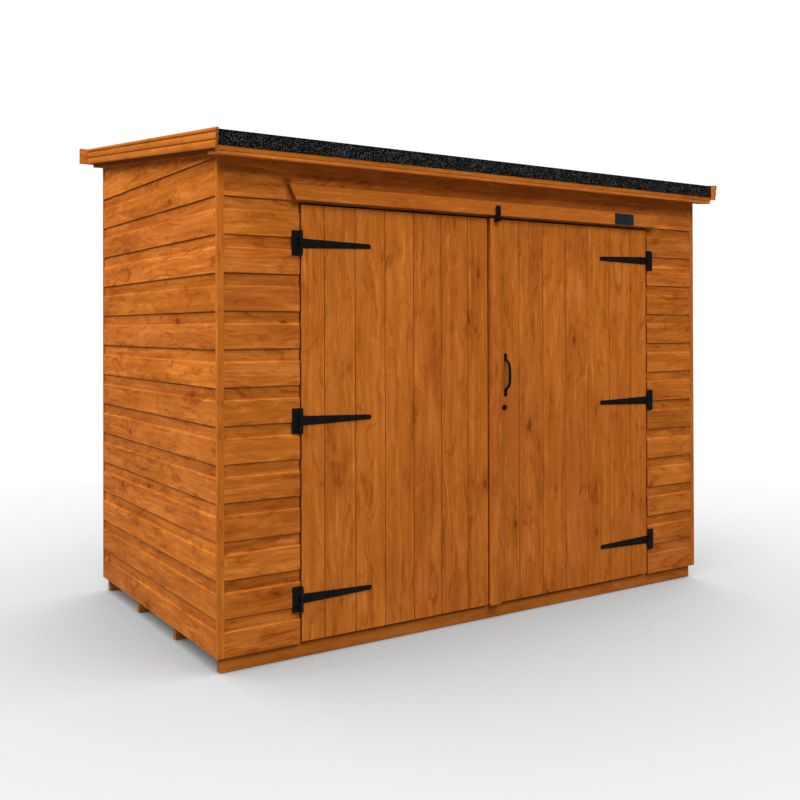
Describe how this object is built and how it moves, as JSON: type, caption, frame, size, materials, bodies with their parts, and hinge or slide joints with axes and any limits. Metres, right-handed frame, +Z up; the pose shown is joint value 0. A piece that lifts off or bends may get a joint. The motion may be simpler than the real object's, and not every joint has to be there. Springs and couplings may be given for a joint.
{
  "type": "bike shelter",
  "caption": "Closed wooden bike shelter: shiplap walls, a felted single-slope roof rising to the back, a timber floor and a pair of outward opening boarded doors on T hinges.",
  "frame": {"origin": "centre of the footprint of the whole object, on the ground under the floor bearers", "axes": "+X to the right seen from the front, along the front wall; +Y to the back; +Z up"},
  "size_m": [2.264, 1.361, 1.777],
  "materials": {
    "mineral_felt": "mineral granules, matt",
    "black_ironwork": "black powder coat, satin",
    "slate_plate": "satin, blank",
    "wall_boards": "stained softwood shiplap",
    "door_boards": "stained softwood, tongue and groove",
    "floor_timber": "treated softwood",
    "floor_boards": "planed softwood",
    "roof_boards": "planed softwood",
    "framing": "planed softwood",
    "trim_timber": "stained softwood"
  },
  "bodies": {
    "root": {"kick_board": "floor_timber", "floor_bearers": "floor_timber", "floor_deck": "floor_boards", "left_wall": "wall_boards", "right_wall": "wall_boards", "back_wall": "wall_boards", "front_wall_left": "wall_boards", "front_wall_right": "wall_boards", "front_header": "wall_boards", "corner_front_left": "trim_timber", "corner_front_right": "trim_timber", "corner_back_left": "trim_timber", "corner_back_right": "trim_timber", "back_wall_studs": "framing", "back_wall_rails": "framing", "left_wall_studs": "framing", "left_wall_rails": "framing", "right_wall_studs": "framing", "right_wall_rails": "framing", "front_posts": "framing", "front_rails": "framing", "roof_side_rails": "framing", "roof_cross_rails": "framing", "roof_deck": "roof_boards", "roof_felt": "mineral_felt", "eaves_board": "trim_timber", "eaves_soffit": "trim_timber", "left_bargeboard": "trim_timber", "right_bargeboard": "trim_timber", "rear_fascia": "trim_timber", "drip_board": "trim_timber", "name_plate": "slate_plate", "left_hinge_plates": "black_ironwork", "right_hinge_plates": "black_ironwork"},
    "left_door": {"left_door_boards": "door_boards", "left_door_ledges": "framing", "left_door_braces": "framing", "left_hinge_straps": "black_ironwork"},
    "right_door": {"right_door_boards": "door_boards", "right_door_ledges": "framing", "right_door_braces": "framing", "right_hinge_straps": "black_ironwork", "cover_strip": "trim_timber", "door_handle": "black_ironwork", "door_latch": "black_ironwork"}
  },
  "joints": [
    {"name": "left_door_hinge", "type": "hinge", "parent": "root", "child": "left_door", "pos_m": [-0.784, -0.598, 0.753], "axis": [0, 0, -1], "range_deg": [0, 150]},
    {"name": "right_door_hinge", "type": "hinge", "parent": "root", "child": "right_door", "pos_m": [0.784, -0.598, 0.753], "axis": [0, 0, 1], "range_deg": [0, 150]}
  ]
}
